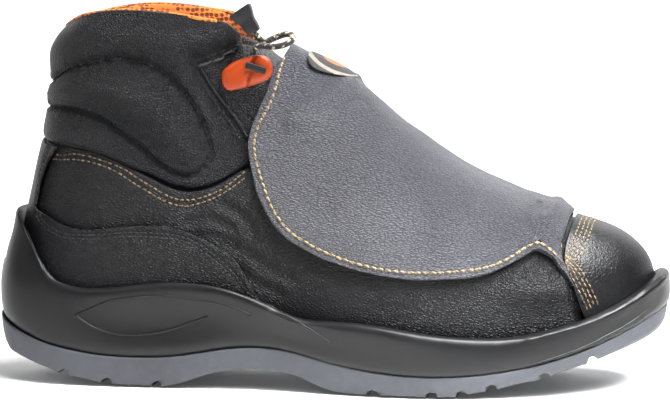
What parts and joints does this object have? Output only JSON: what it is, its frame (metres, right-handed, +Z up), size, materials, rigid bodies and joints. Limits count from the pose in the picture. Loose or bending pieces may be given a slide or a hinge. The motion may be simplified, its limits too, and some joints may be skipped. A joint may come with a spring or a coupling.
{
  "type": "metatarsal guard boot",
  "caption": "Black leather safety boot for the right foot with a flap over the metatarsals, padded ankle collar and a black and grey moulded sole",
  "frame": {"origin": "on the floor under the middle of the boot", "axes": "+X from heel to toe, +Y to the inner side of the right foot, +Z up"},
  "size_m": [0.305, 0.1086, 0.1716],
  "materials": {
    "black_leather": "smooth, lightly grained, satin",
    "pebbled_leather": "pebbled grain, satin",
    "collar_leather": "soft padded, satin",
    "orange_mesh_lining": "orange mesh inside",
    "black_polyurethane": "moulded, satin",
    "grey_rubber": "matte",
    "footbed_foam": "matte",
    "tongue_textile": "matte weave",
    "orange_plastic": "satin",
    "black_plastic": "satin",
    "flecked_cord": "braided with gold flecks"
  },
  "bodies": {
    "root": {"upper": "orange_mesh_lining", "toe_cap": "black_leather", "quarters": "black_leather", "heel_counter": "black_leather", "collar_padding": "collar_leather", "facing_outer": "black_leather", "facing_inner": "black_leather", "tongue": "tongue_textile", "metatarsal_guard": "pebbled_leather", "midsole": "black_polyurethane", "outsole": "grey_rubber", "insole": "footbed_foam", "release_lever": "orange_plastic", "release_band": "black_plastic", "cord_end": "black_plastic", "lace": "flecked_cord", "lace_loop": "flecked_cord", "badge_patch": "black_plastic"}
  },
  "joints": []
}
